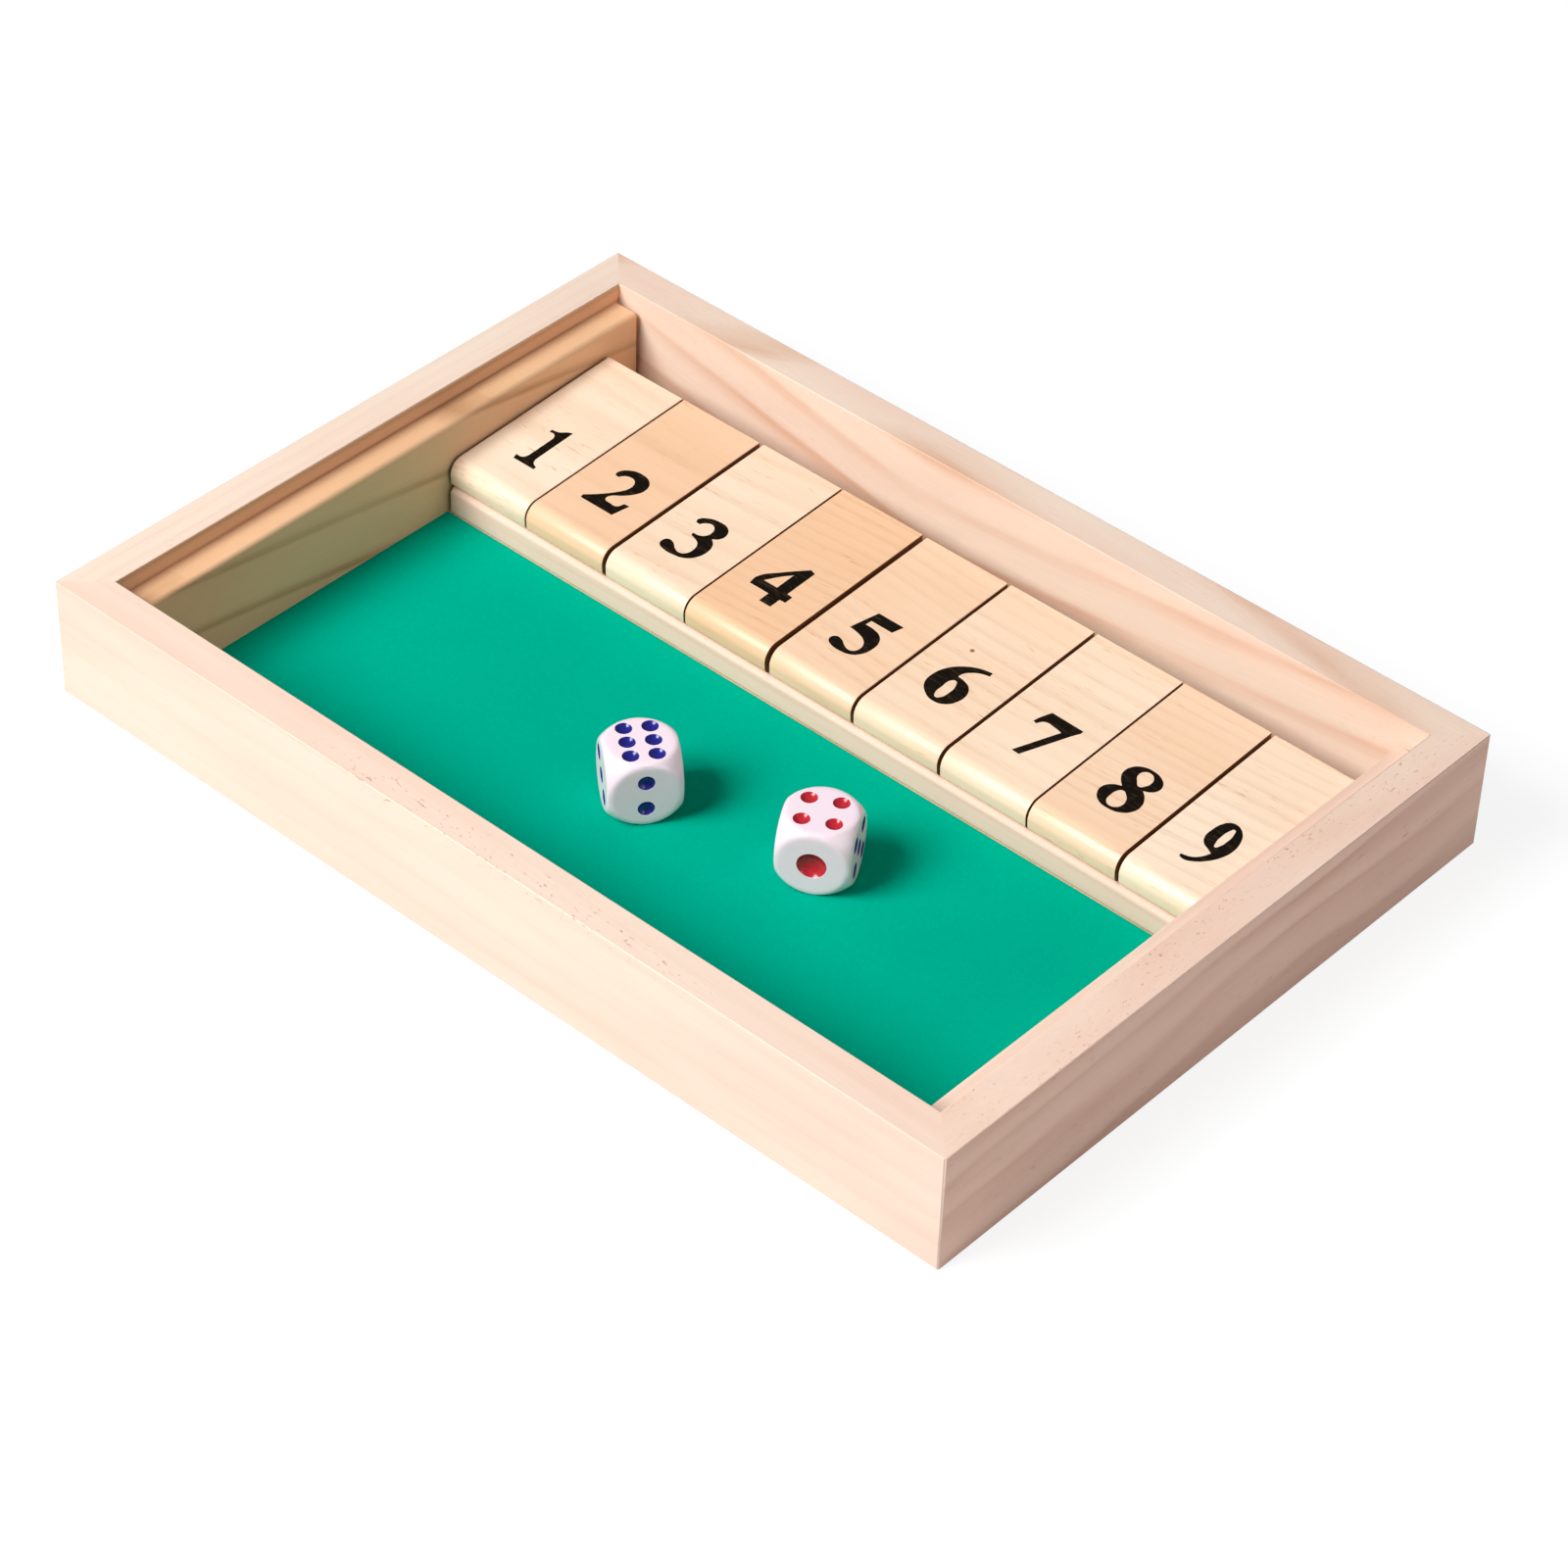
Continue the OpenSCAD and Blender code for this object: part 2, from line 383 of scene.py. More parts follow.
def pine(name, timber, pale, dark, pink, fleck, roughness=0.6, coat=0.0, knot=None):
    """Radiata pine: pale early wood, darker late-wood lines, fine fibres and resin flecks."""
    material, tree, surface = new_material(name)
    place = add_node(tree, "ShaderNodeTexCoord").outputs["Object"]
    grain = timber_grain(tree, place, timber)
    # Some stretches of a ring are denser than others: about 60 mm by 8 mm
    density = grain_noise(tree, grain, 60, 8, detail=3)["Fac"]
    # Fibres are 0.03 mm wide in life; they are drawn 0.5 mm wide and 14 mm long to show
    fibre = grain_noise(tree, grain, 14, 0.5, detail=3, roughness=0.6)["Fac"]
    fibre_tone = set_ramp(add_node(tree, "ShaderNodeValToRGB", {"Fac": fibre}),
                          [(0.3, 0.95), (0.7, 1.0)])

    body = add_node(tree, "ShaderNodeMixRGB", {
        "Fac": pink_cast(tree, grain, timber), "Color1": rgba(pale), "Color2": rgba(pink)})
    ringed = add_node(tree, "ShaderNodeMixRGB", {
        "Fac": late_wood(tree, grain, density, timber), "Color1": body.outputs["Color"],
        "Color2": rgba(dark)})
    fibred = add_node(tree, "ShaderNodeMixRGB", {
        "Fac": 1, "Color1": ringed.outputs["Color"], "Color2": fibre_tone},
        blend_type="MULTIPLY")
    flecked = add_node(tree, "ShaderNodeMixRGB", {
        "Fac": resin_canals(tree, place, grain, density, timber),
        "Color1": fibred.outputs["Color"], "Color2": rgba(fleck)})
    tone = flecked.outputs["Color"]
    if knot:
        tone = pin_knot(tree, place, tone, *knot)

    rough = add_node(tree, "ShaderNodeMapRange", {
        "Value": fibre, "To Min": roughness - 0.06, "To Max": roughness + 0.06})
    relief = add_node(tree, "ShaderNodeBump", {
        "Height": fibre, "Strength": 0.12, "Distance": 0.05 * MM})
    shader = add_node(tree, "ShaderNodeBsdfPrincipled", {
        "Base Color": tone, "Roughness": rough.outputs["Result"],
        "Normal": relief.outputs["Normal"], "Coat Weight": coat, "Coat Roughness": 0.3,
        "Specular IOR Level": 0.35})
    tree.links.new(shader.outputs["BSDF"], surface)
    return material


def arched(tree, grain, centre, rise, bend):
    """Bends the rings into arches round a point along the board, as on a flat-sawn face."""
    axes = add_node(tree, "ShaderNodeSeparateXYZ", {"Vector": grain})
    along = add_node(tree, "ShaderNodeMath", {0: axes.outputs["X"], 1: centre * MM},
                     operation="SUBTRACT")
    arm = add_node(tree, "ShaderNodeCombineXYZ", {"X": along.outputs["Value"], "Y": bend * MM})
    arch = add_node(tree, "ShaderNodeVectorMath", {0: arm.outputs["Vector"]},
                    operation="LENGTH")
    lift = add_node(tree, "ShaderNodeMath", {0: arch.outputs["Value"], 1: -rise},
                    operation="MULTIPLY")
    shift = add_node(tree, "ShaderNodeCombineXYZ", {"Z": lift.outputs["Value"]})
    return add_node(tree, "ShaderNodeVectorMath", {0: grain, 1: shift.outputs["Vector"]},
                    operation="ADD").outputs["Vector"]


def pocket_share(tree, place, amount, centre, reach):
    """That amount inside an ellipsoid of the wood, fading to none at its rim."""
    near = add_node(tree, "ShaderNodeMapping", {
        "Vector": place, "Scale": [per_metre(r) for r in reach],
        "Location": [-c / r for c, r in zip(centre, reach)]})
    away = add_node(tree, "ShaderNodeVectorMath", {0: near.outputs["Vector"]},
                    operation="LENGTH")
    return add_node(tree, "ShaderNodeMapRange", {
        "Value": away.outputs["Value"], "From Min": 0.6, "From Max": 1,
        "To Min": amount, "To Max": 0}).outputs["Result"]


def pin_knot(tree, place, tone, centre, radius, knot_colour):
    """A tiny dark knot at a point of the surface, drawn over the tone."""
    away = add_node(tree, "ShaderNodeVectorMath", {0: place, 1: centre}, operation="DISTANCE")
    spot = add_node(tree, "ShaderNodeMapRange", {
        "Value": away.outputs["Value"], "From Min": radius * 0.4, "From Max": radius,
        "To Min": 0.9, "To Max": 0}, interpolation_type="SMOOTHSTEP")
    return add_node(tree, "ShaderNodeMixRGB", {
        "Fac": spot.outputs["Result"], "Color1": tone,
        "Color2": rgba(knot_colour)}).outputs["Color"]


def baize_cloth(name, green, shade):
    """Wool baize, milled and sheared: a close matt nap with no gloss of its own."""
    material, tree, surface = new_material(name)
    place = add_node(tree, "ShaderNodeTexCoord").outputs["Object"]
    # The nap is 0.02 mm fibres; it is drawn as 0.5 mm tufts to show
    nap = add_node(tree, "ShaderNodeTexNoise", {
        "Vector": place, "Scale": per_metre(0.5), "Detail": 3, "Roughness": 0.65})
    lay = add_node(tree, "ShaderNodeTexNoise", {
        "Vector": place, "Scale": per_metre(35), "Detail": 2})
    depth = add_node(tree, "ShaderNodeMapRange", {
        "Value": nap.outputs["Fac"], "From Min": 0.35, "From Max": 0.75})
    tuft = add_node(tree, "ShaderNodeMixRGB", {
        "Fac": depth.outputs["Result"], "Color1": rgba(shade), "Color2": rgba(green)})
    sweep = set_ramp(add_node(tree, "ShaderNodeValToRGB", {"Fac": lay.outputs["Fac"]}),
                     [(0.3, 0.95), (0.7, 1.0)])
    tone = add_node(tree, "ShaderNodeMixRGB", {
        "Fac": 1, "Color1": tuft.outputs["Color"], "Color2": sweep}, blend_type="MULTIPLY")
    relief = add_node(tree, "ShaderNodeBump", {
        "Height": nap.outputs["Fac"], "Strength": 0.1, "Distance": 0.1 * MM})
    shader = add_node(tree, "ShaderNodeBsdfPrincipled", {
        "Base Color": tone.outputs["Color"], "Roughness": 0.85, "Specular IOR Level": 0,
        "Normal": relief.outputs["Normal"]})
    tree.links.new(shader.outputs["BSDF"], surface)
    return material


def drawn_steel(name):
    """Bright drawn steel rod: fine lines along its length from the die."""
    material, tree, surface = new_material(name)
    place = add_node(tree, "ShaderNodeTexCoord").outputs["Object"]
    # Drawing marks run along X, some 20 mm long and 0.1 mm apart
    marks = grain_noise(tree, place, 20, 0.1)["Fac"]
    rough = add_node(tree, "ShaderNodeMapRange", {
        "Value": marks, "To Min": 0.22, "To Max": 0.42})
    tone = add_node(tree, "ShaderNodeMixRGB", {
        "Fac": marks, "Color1": rgba(linear("#B9BBBD")), "Color2": rgba(linear("#D6D7D8"))})
    shader = add_node(tree, "ShaderNodeBsdfPrincipled", {
        "Base Color": tone.outputs["Color"], "Metallic": 1, "Roughness": rough.outputs["Result"]})
    tree.links.new(shader.outputs["BSDF"], surface)
    return material


def moulded_resin(name, white):
    """Moulded urea resin, tumbled to a polish: white, glossy and very slightly uneven."""
    material, tree, surface = new_material(name)
    place = add_node(tree, "ShaderNodeTexCoord").outputs["Object"]
    # Tumbling leaves a faint waviness about 3 mm across
    wave = add_node(tree, "ShaderNodeTexNoise", {
        "Vector": place, "Scale": per_metre(3), "Detail": 2})
    tone = add_node(tree, "ShaderNodeMixRGB", {
        "Fac": wave.outputs["Fac"], "Color1": rgba(white),
        "Color2": rgba([c * 0.96 for c in white])})
    rough = add_node(tree, "ShaderNodeMapRange", {
        "Value": wave.outputs["Fac"], "To Min": 0.16, "To Max": 0.26})
    relief = add_node(tree, "ShaderNodeBump", {
        "Height": wave.outputs["Fac"], "Strength": 0.1, "Distance": 0.1 * MM})
    shader = add_node(tree, "ShaderNodeBsdfPrincipled", {
        "Base Color": tone.outputs["Color"], "Roughness": rough.outputs["Result"],
        "IOR": 1.55, "Normal": relief.outputs["Normal"]})
    tree.links.new(shader.outputs["BSDF"], surface)
    return material


def pip_enamel(name, paint):
    """Enamel wiped into a pip: glossy, a little thinner and lighter in patches."""
    material, tree, surface = new_material(name)
    place = add_node(tree, "ShaderNodeTexCoord").outputs["Object"]
    # The wiped film varies over about 1 mm
    film = add_node(tree, "ShaderNodeTexNoise", {
        "Vector": place, "Scale": per_metre(1), "Detail": 2})
    tone = add_node(tree, "ShaderNodeMixRGB", {
        "Fac": film.outputs["Fac"], "Color1": rgba([c * 0.75 for c in paint]),
        "Color2": rgba(mixed(paint, WHITE, 0.02))})
    shader = add_node(tree, "ShaderNodeBsdfPrincipled", {
        "Base Color": tone.outputs["Color"], "Roughness": 0.18, "IOR": 1.5})
    tree.links.new(shader.outputs["BSDF"], surface)
    return material


def screen_ink(name, ink, worn):
    """Screen-printed ink on wood: dense black that thins where the grain took less of it."""
    material, tree, surface = new_material(name)
    place = add_node(tree, "ShaderNodeTexCoord").outputs["Object"]
    # The grain that starves the film runs along X, about 3 mm long and 0.6 mm wide
    film = grain_noise(tree, place, 3, 0.6, detail=3, roughness=0.6)["Fac"]
    starved = add_node(tree, "ShaderNodeMapRange", {
        "Value": film, "From Min": 0.52, "From Max": 0.8,
        "To Min": 0, "To Max": 0.7})
    tone = add_node(tree, "ShaderNodeMixRGB", {
        "Fac": starved.outputs["Result"], "Color1": rgba(ink), "Color2": rgba(worn)})
    shader = add_node(tree, "ShaderNodeBsdfPrincipled", {
        "Base Color": tone.outputs["Color"], "Roughness": 0.6, "Specular IOR Level": 0.08})
    tree.links.new(shader.outputs["BSDF"], surface)
    return material


# ---- Shaping ----


def cad_copy(node):
    """A welded copy of a CAD node's mesh, with each flat face as one polygon."""
    bm = bmesh.new()
    bm.from_mesh(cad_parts[node].data)
    bmesh.ops.remove_doubles(bm, verts=bm.verts, dist=WELD)
    bmesh.ops.dissolve_limit(bm, angle_limit=FLAT, verts=bm.verts, edges=bm.edges)
    return bm


def shade_rounds(bm):
    """Shades as smooth the facets that make up a rounded face."""
    for face in bm.faces:
        bends = [e for e in face.edges if e.is_manifold and FLAT < e.calc_face_angle() < ROUND]
        face.smooth = len(bends) > 1


def ease_edges(bm, radius, skip=lambda face: False):
    """Rounds the sharp edges, apart from those of the faces that skip names."""
    edges = [e for e in bm.edges if e.is_manifold and e.calc_face_angle() > SHARP
             and not any(skip(face) for face in e.link_faces)]
    eased = bmesh.ops.bevel(
        bm, geom=edges, offset=radius, offset_type="OFFSET", segments=EDGE_STEPS, profile=0.5,
        affect="EDGES", clamp_overlap=True, material=-1)
    for face in eased["faces"]:
        face.smooth = True


def finish_piece(bm, name, body, slot, materials, *nodes):
    """Makes the piece with its materials, hangs it on the body it rides on, and hides the nodes it
    stands for.
    """
    mesh = bpy.data.meshes.new(name)
    bm.to_mesh(mesh)
    bm.free()
    for material in materials:
        mesh.materials.append(material)
    piece = bpy.data.objects.new(name, mesh)
    bpy.context.scene.collection.objects.link(piece)
    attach(piece, body)
    if nodes:
        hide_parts(*nodes)
    return piece


def faces_down(face):
    """Whether a face looks down."""
    return face.normal.z < -0.5


def is_upright(face):
    """Whether a face stands upright."""
    return abs(face.normal.z) < 0.01


def is_mitre(face):
    """Whether a face is the 45 degree cut at a board's end."""
    return is_upright(face) and abs(abs(face.normal.x) - abs(face.normal.y)) < 0.01


def everything(bm):
    """All of a bmesh's geometry."""
    return bm.verts[:] + bm.edges[:] + bm.faces[:]


def cut_corner(bm, side_x, side_y, width):
    """Sands a flat of that width on the frame's upright corner."""
    reach = cad_box[1]
    corner = Vector((reach[0] * side_x, reach[1] * side_y, 0))
    outward = Vector((side_x, side_y, 0)).normalized()
    cut = bmesh.ops.bisect_plane(
        bm, geom=everything(bm), plane_co=corner - outward * width / 2, plane_no=outward,
        clear_outer=True)
    rim = [e for e in cut["geom_cut"] if isinstance(e, bmesh.types.BMEdge)]
    bmesh.ops.contextual_create(bm, geom=rim)


# ---- The tray ----

# Each board's timber; the front and back boards run along X, the side boards along Y
BOARDS = {
    "front": Timber(pith=(0, -30, 70), slant=(0, 1.2, 1.5), ring=5, contrast=0.15,
                    pinkness=(0.25, 0.7), flecks=1.0, dash=(1.8, 0.7),
                    pocket=((5, -81, 29), (62, 5, 4))),
    "back": Timber(pith=(0, 110, -62.6), slant=(0, -2.6, 0), ring=9.8, late=0.6,
                   crown=(-22, 0.145, 8), sway=1.6, contrast=0.8, pinkness=(0.1, 0.7),
                   flecks=0.2),
    "left": Timber(along="Y", pith=(0, -150, 40), slant=(0, 1.5, 1), ring=3.4, contrast=0.18,
                   pinkness=(0, 0.35), flecks=0.25),
    "right": Timber(along="Y", pith=(0, -120, -70), slant=(0, 0, 0), ring=12,
                    crown=(15, 0.19, 20), sway=1.5, contrast=0.25, pinkness=(0.5, 1),
                    flecks=0.8, dash=(1.3, 0.7)),
}
# The side boards' faces that look to the right, away from the key light, get a browner tone:
# painted shade, not a change in the wood
PAINTED_SHADE_SIDES = {
    "left": Timber(along="Y", pith=(0, 111.2, -44.2), slant=(0, 0, 0), ring=3.3, sway=0.3,
                   contrast=0.55, pinkness=(0, 0), flecks=0),
    "right": Timber(along="Y", pith=(0, -30, -34), slant=(0, 1.5, 1), ring=5, late=0.3,
                    sway=4, contrast=0.6, pinkness=(0, 0), flecks=0.6, dash=(4, 0.7)),
}
BOARD_CORNERS = {
    "front": [(-1, -1), (1, -1)], "back": [(-1, 1), (1, 1)],
    "left": [(-1, -1), (-1, 1)], "right": [(1, -1), (1, 1)],
}


def raw_pine(name, timber, wood):
    """Pine planed, sanded and left bare: matt, with the fibres just raised."""
    return pine(name, timber, wood.pale, wood.dark, wood.pink, wood.fleck)


def painted_shade_pine(side, wood):
    """The same pine, browner and with no pink: painted shade for a side board's face turned away
    from the key light.
    """
    pale, dark = {"left": (wood.painted_shade, wood.painted_shade_ring),
                  "right": (wood.rosy_painted_shade, wood.rosy_painted_shade_ring)}[side]
    return pine(f"Sanded radiata pine, heart side, {side}", PAINTED_SHADE_SIDES[side],
                pale, dark, pale, dark)


class SHUTBOX_OT_frame_boards(bpy.types.Operator):
    """Make the four mitred boards of the frame"""

    bl_idname = "shutbox.frame_boards"
    bl_label = "Frame boards"

    def execute(self, context):
        wood = context.scene.shut_box.wood
        for side, timber in BOARDS.items():
            bm = cad_copy(f"frame_{side}")
            for side_x, side_y in BOARD_CORNERS[side]:
                cut_corner(bm, side_x, side_y, wood.corner_cut)
            ease_edges(bm, wood.board_edge, skip=is_mitre)
            finishes = [raw_pine(f"Sanded radiata pine, {side} board", timber, wood)]
            if side in PAINTED_SHADE_SIDES:
                finishes.append(painted_shade_pine(side, wood))
                # Faces that look to the right take the painted shade tone
                for face in bm.faces:
                    face.material_index = int(face.normal.x > FACING)
            finish_piece(bm, f"{side}_board", "tray", "frame_pine", finishes, f"frame_{side}")
        return {"FINISHED"}


class SHUTBOX_OT_base_panel(bpy.types.Operator):
    """Make the thin plywood panel in the boards' rebate"""

    bl_idname = "shutbox.base_panel"
    bl_label = "Base panel"

    def execute(self, context):
        wood = context.scene.shut_box.wood
        bm = cad_copy("base_panel")
        ease_edges(bm, wood.panel_edge)
        timber = Timber(pith=(0, 20, 400), slant=(0, 1.5, 4), ring=1.6, sway=5, contrast=0.6,
                        pinkness=(0, 0), flecks=0.3)
        veneer = pine("Peeled pine veneer, base", timber, wood.ply, wood.ply_dark,
                      wood.ply, wood.ply_dark, roughness=0.7)
        finish_piece(bm, "plywood_base", "tray", "base_plywood", [veneer], "base_panel")
        return {"FINISHED"}


LEFT_CHEEK = Timber(along="Y", pith=(0, 104.8, -62), slant=(8.5, 0, 0), ring=13, late=0.82,
                    sway=0.8, contrast=0.9, pinkness=(0, 0), flecks=0.1)
RIGHT_CHEEK = Timber(along="Y", pith=(0, 60, -40), slant=(0, 1, 1), ring=4, contrast=0.3,
                     pinkness=(0.2, 0.8), flecks=0.1)


class SHUTBOX_OT_cheeks(bpy.types.Operator):
    """Make the two cheek strips that carry the rod"""

    bl_idname = "shutbox.cheeks"
    bl_label = "Cheeks"

    def execute(self, context):
        wood = context.scene.shut_box.wood
        finishes = {
            "left": pine("Sanded radiata pine, left cheek", LEFT_CHEEK, wood.cheek,
                         wood.cheek_dark, wood.cheek, wood.fleck),
            "right": raw_pine("Sanded radiata pine, right cheek", RIGHT_CHEEK, wood),
        }
        for side, finish in finishes.items():
            bm = cad_copy(f"cheek_{side}")
            shade_rounds(bm)
            ease_edges(bm, wood.cheek_edge, skip=faces_down)
            finish_piece(bm, f"{side}_cheek", "tray", "cheek_pine", [finish], f"cheek_{side}")
        return {"FINISHED"}


class SHUTBOX_OT_tile_rail(bpy.types.Operator):
    """Make the rail that the tiles' noses rest on"""

    bl_idname = "shutbox.tile_rail"
    bl_label = "Tile rail"

    def execute(self, context):
        wood = context.scene.shut_box.wood
        bm = cad_copy("tile_rail")
        shade_rounds(bm)
        ease_edges(bm, wood.cheek_edge, skip=faces_down)
        timber = Timber(pith=(0, 40, 50), slant=(0, 1, 1), ring=4, contrast=0.3,
                        pinkness=(0.8, 1), flecks=0.2)
        finish_piece(bm, "nose_rail", "tray", "rail_pine",
                     [raw_pine("Sanded radiata pine, rail", timber, wood)], "tile_rail")
        return {"FINISHED"}


class SHUTBOX_OT_tile_rod(bpy.types.Operator):
    """Make the steel rod that the tiles turn on"""

    bl_idname = "shutbox.tile_rod"
    bl_label = "Tile rod"

    def execute(self, context):
        low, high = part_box("tile_rod")
        centre = (low + high) / 2
        radius = (high.z - low.z) / 2
        bm = bmesh.new()
        bmesh.ops.create_cone(
            bm, cap_ends=True, segments=ROUND_FACETS, radius1=radius, radius2=radius,
            depth=high.x - low.x,
            matrix=Matrix.Translation(centre) @ Matrix.Rotation(math.pi / 2, 4, "Y"))
        for face in bm.faces:
            face.smooth = len(face.verts) == 4
        # The cut ends are broken with a file
        ease_edges(bm, radius / 5)
        finish_piece(bm, "hinge_rod", "tray", "rod_steel",
                     [drawn_steel("Drawn steel, rod")], "tile_rod")
        return {"FINISHED"}


class SHUTBOX_OT_baize(bpy.types.Operator):
    """Lay the baize on the tray's floor"""

    bl_idname = "shutbox.baize"
    bl_label = "Baize"

    def execute(self, context):
        cloth = context.scene.shut_box.baize
        low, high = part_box("baize")
        size = high - low + Vector((cloth.nap, cloth.nap, 0)) * 2
        bm = bmesh.new()
        bmesh.ops.create_cube(
            bm, size=1, matrix=Matrix.Translation((low + high) / 2) @ Matrix.Diagonal((*size, 1)))
        ease_edges(bm, cloth.edge, skip=faces_down)
        finish = baize_cloth("Sheared wool baize", cloth.green, cloth.shade)
        piece = finish_piece(bm, "baize_cloth", "tray", "baize", [finish], "baize")
        return {"FINISHED"}


# ---- The tiles ----

# How warm each tile's wood is, from the pale tone to the warm one
WARMTH = [0.0, 0.6, 0.1, 0.7, 0.45, 0.25, 0.1, 0.35, 0.0]

# Cut across the grain, pine drinks the lacquer and goes dark; the tone is also made dark enough to
# stand in for the shade down the seams between tiles, as painted shade
END_GRAIN_AND_SEAM_SHADE = Timber(along="Y", pith=(0, 0, -40), ring=2.4, contrast=0.4, pinkness=(0, 0),
                   flecks=0)

# The tile with a pin knot, where the knot lies from the tile's left edge and from the flat's
# front edge, and its radius, in millimetres
KNOT_TILE = 6
KNOT_AT = (7.4, 24.9)
KNOT_RADIUS = 0.7

# The numerals' outlines as drawn on their tiles, in millimetres: X from the tile's left edge, Y
# from the tray's middle. A point marked CORNER is sharp, and any other is part of a curve. The
# first outline is the outside.
CORNER = "corner"
NUMERALS = {
    1: [[(12.9, 39.0, CORNER), (13.1, 27.3, CORNER), (13.7, 26.1), (15.1, 25.4, CORNER),
         (15.1, 24.6, CORNER), (9.1, 24.6, CORNER), (8.7, 25.9, CORNER), (10.3, 26.1),
         (10.9, 27.3, CORNER), (10.9, 35.0, CORNER), (10.2, 36.1), (8.7, 36.1, CORNER),
         (8.6, 36.9, CORNER), (10.4, 37.3), (11.8, 38.5)]],
    2: [[(6.5, 35.9), (8.1, 38.0), (11.2, 38.8), (14.2, 37.7), (15.2, 35.2), (14.6, 33.2),
         (12.9, 31.1), (10.7, 28.9), (10.7, 27.7), (12.4, 27.3), (14.2, 27.4),
         (14.9, 29.1, CORNER), (16.3, 29.2, CORNER), (15.8, 27.2), (15.3, 24.7, CORNER),
         (6.3, 24.7, CORNER), (6.1, 25.6, CORNER), (8.2, 27.6), (11.2, 31.3), (12.2, 33.4),
         (12.0, 35.0), (11.2, 36.2), (9.9, 36.5), (8.5, 35.9), (7.8, 34.9, CORNER),
         (6.8, 34.9, CORNER)]],
    3: [[(6.5, 35.8), (7.9, 37.4), (10.6, 38.2), (13.3, 37.8), (14.7, 35.9), (14.4, 34.0),
         (13.2, 33.0, CORNER), (14.6, 31.7), (15.3, 29.5), (14.7, 26.5), (12.9, 24.6),
         (10.3, 23.9), (7.6, 23.9), (5.9, 24.6), (5.5, 25.9), (6.2, 27.0), (7.8, 26.8),
         (9.4, 25.6), (10.9, 25.2), (12.2, 26.0), (12.6, 27.9), (12.0, 29.7), (10.8, 30.6),
         (9.0, 31.1, CORNER), (8.7, 31.9, CORNER), (10.6, 32.2), (11.6, 33.2), (11.8, 34.5),
         (11.2, 35.9), (9.9, 36.5), (8.6, 35.9), (7.8, 34.9, CORNER), (6.9, 34.9, CORNER)]],
    4: [[(12.7, 39.4, CORNER), (14.1, 39.0, CORNER), (14.1, 30.4, CORNER), (15.6, 30.3, CORNER),
         (15.6, 28.1, CORNER), (14.1, 28.0, CORNER), (14.1, 25.1, CORNER), (11.0, 25.1, CORNER),
         (11.0, 28.0, CORNER), (5.7, 28.0, CORNER), (5.5, 30.4), (8.6, 34.8)],
        [(11.1, 35.8, CORNER), (11.1, 30.5, CORNER), (7.4, 30.5, CORNER), (9.4, 33.7)]],
    5: [[(8.7, 38.5, CORNER), (15.5, 38.5, CORNER), (14.7, 35.7, CORNER), (9.1, 35.7, CORNER),
         (8.9, 34.1, CORNER), (11.2, 34.0), (13.5, 33.2), (14.8, 31.5), (15.1, 29.2),
         (14.4, 26.6), (12.8, 25.0), (10.3, 24.4), (7.9, 24.6), (6.5, 25.3), (6.1, 26.4),
         (6.8, 27.4), (8.3, 27.3), (9.9, 26.3), (11.4, 25.8), (12.7, 26.4), (13.1, 27.8),
         (12.6, 29.3), (11.3, 30.4), (9.6, 31.0), (7.0, 31.4, CORNER), (7.5, 33.6)]],
    6: [[(15.2, 39.9, CORNER), (15.3, 38.8, CORNER), (13.5, 38.3), (11.8, 37.2), (10.7, 35.7),
         (10.4, 34.5, CORNER), (12.2, 34.3), (14.3, 33.3), (15.5, 31.2), (15.4, 28.7),
         (14.0, 26.4), (11.3, 25.5), (8.6, 26.4), (6.45, 28.7), (6.05, 31.6), (6.95, 34.8),
         (9.35, 37.6), (12.3, 39.3)],
        [(10.9, 33.2), (12.0, 31.9), (12.3, 29.4), (11.9, 27.4), (11.0, 26.7), (10.2, 27.6),
         (9.9, 30.1), (10.1, 32.4)]],
    7: [[(8.65, 38.8, CORNER), (16.95, 38.6, CORNER), (16.95, 37.8, CORNER),
         (16.05, 36.0, CORNER), (11.45, 24.9, CORNER), (9.55, 25.0, CORNER),
         (13.85, 35.4, CORNER), (11.95, 35.7), (9.25, 35.7), (8.15, 34.2, CORNER),
         (7.25, 34.5, CORNER), (7.55, 35.8)]],
    8: [[(11.8, 38.9), (14.6, 38.2), (16.2, 36.7), (16.3, 35.0), (15.4, 33.7),
         (14.0, 33.0, CORNER), (15.7, 31.5), (16.6, 29.3), (16.3, 27.0), (14.7, 25.2),
         (12.0, 24.5), (9.2, 25.0), (7.3, 26.8), (7.1, 28.8), (8.2, 30.5), (9.9, 31.4, CORNER),
         (8.3, 33.0), (7.5, 34.7), (7.8, 36.8), (9.4, 38.4)],
        [(12.0, 38.0), (13.4, 37.2), (13.9, 35.8), (13.5, 34.3), (12.7, 33.4), (11.3, 34.4),
         (10.3, 36.0), (10.7, 37.4)],
        [(10.9, 30.5), (12.3, 29.8), (13.3, 28.5), (13.5, 26.9), (12.8, 25.7), (11.4, 25.3),
         (10.2, 26.2), (9.8, 27.8), (10.1, 29.5)]],
    9: [[(10.9, 37.7), (13.1, 36.6), (14.5, 34.3), (14.9, 31.3), (14.3, 28.4), (12.8, 25.8),
         (10.8, 23.9), (9.0, 23.1), (7.7, 23.3, CORNER), (7.6, 24.0, CORNER), (9.7, 24.6),
         (11.2, 26.0), (12.1, 27.9, CORNER), (10.8, 28.5), (9.1, 29.4), (8.1, 31.1),
         (7.9, 33.3), (8.5, 35.9), (9.5, 37.3)],
        [(11.3, 36.3), (12.2, 35.0), (12.3, 32.6), (12.1, 30.6), (11.4, 29.8), (10.8, 30.8),
         (10.6, 33.0), (10.8, 35.4)]],
}
